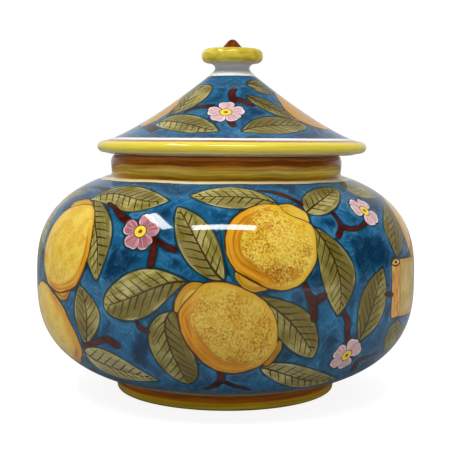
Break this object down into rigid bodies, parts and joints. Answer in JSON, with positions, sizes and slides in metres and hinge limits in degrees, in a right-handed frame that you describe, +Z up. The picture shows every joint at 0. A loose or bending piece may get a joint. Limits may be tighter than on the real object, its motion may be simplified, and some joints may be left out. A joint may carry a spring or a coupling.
{
  "type": "cookie jar",
  "caption": "Squat round glazed pottery jar on a foot ring, with a collared mouth and a loose cone-shaped lid lifted by a waisted knob.",
  "frame": {"origin": "middle of the foot ring, on the surface that the jar stands on", "axes": "+Z up along the pot's axis; -Y is the painted front; +X is the side that the loose lid has come to rest on"},
  "size_m": [0.25, 0.25, 0.231],
  "materials": {
    "painted_pot": "clear gloss glaze over a hand-painted blue ground with lemons, leaves and blossom",
    "painted_lid": "clear gloss glaze over a hand-painted blue ground with a yellow edge",
    "yellow_knob": "clear gloss glaze over yellow, with a white stem",
    "brown_tip": "clear gloss glaze over brown"
  },
  "bodies": {
    "jar": {"jar_body": "painted_pot"},
    "lid": {"lid_shell": "painted_lid", "lid_knob": "yellow_knob", "knob_tip": "brown_tip"}
  },
  "joints": [
    {"name": "lid_lift", "type": "slide", "parent": "jar", "child": "lid", "axis": [0, 0, 1], "range_m": [0, 0.18]}
  ]
}
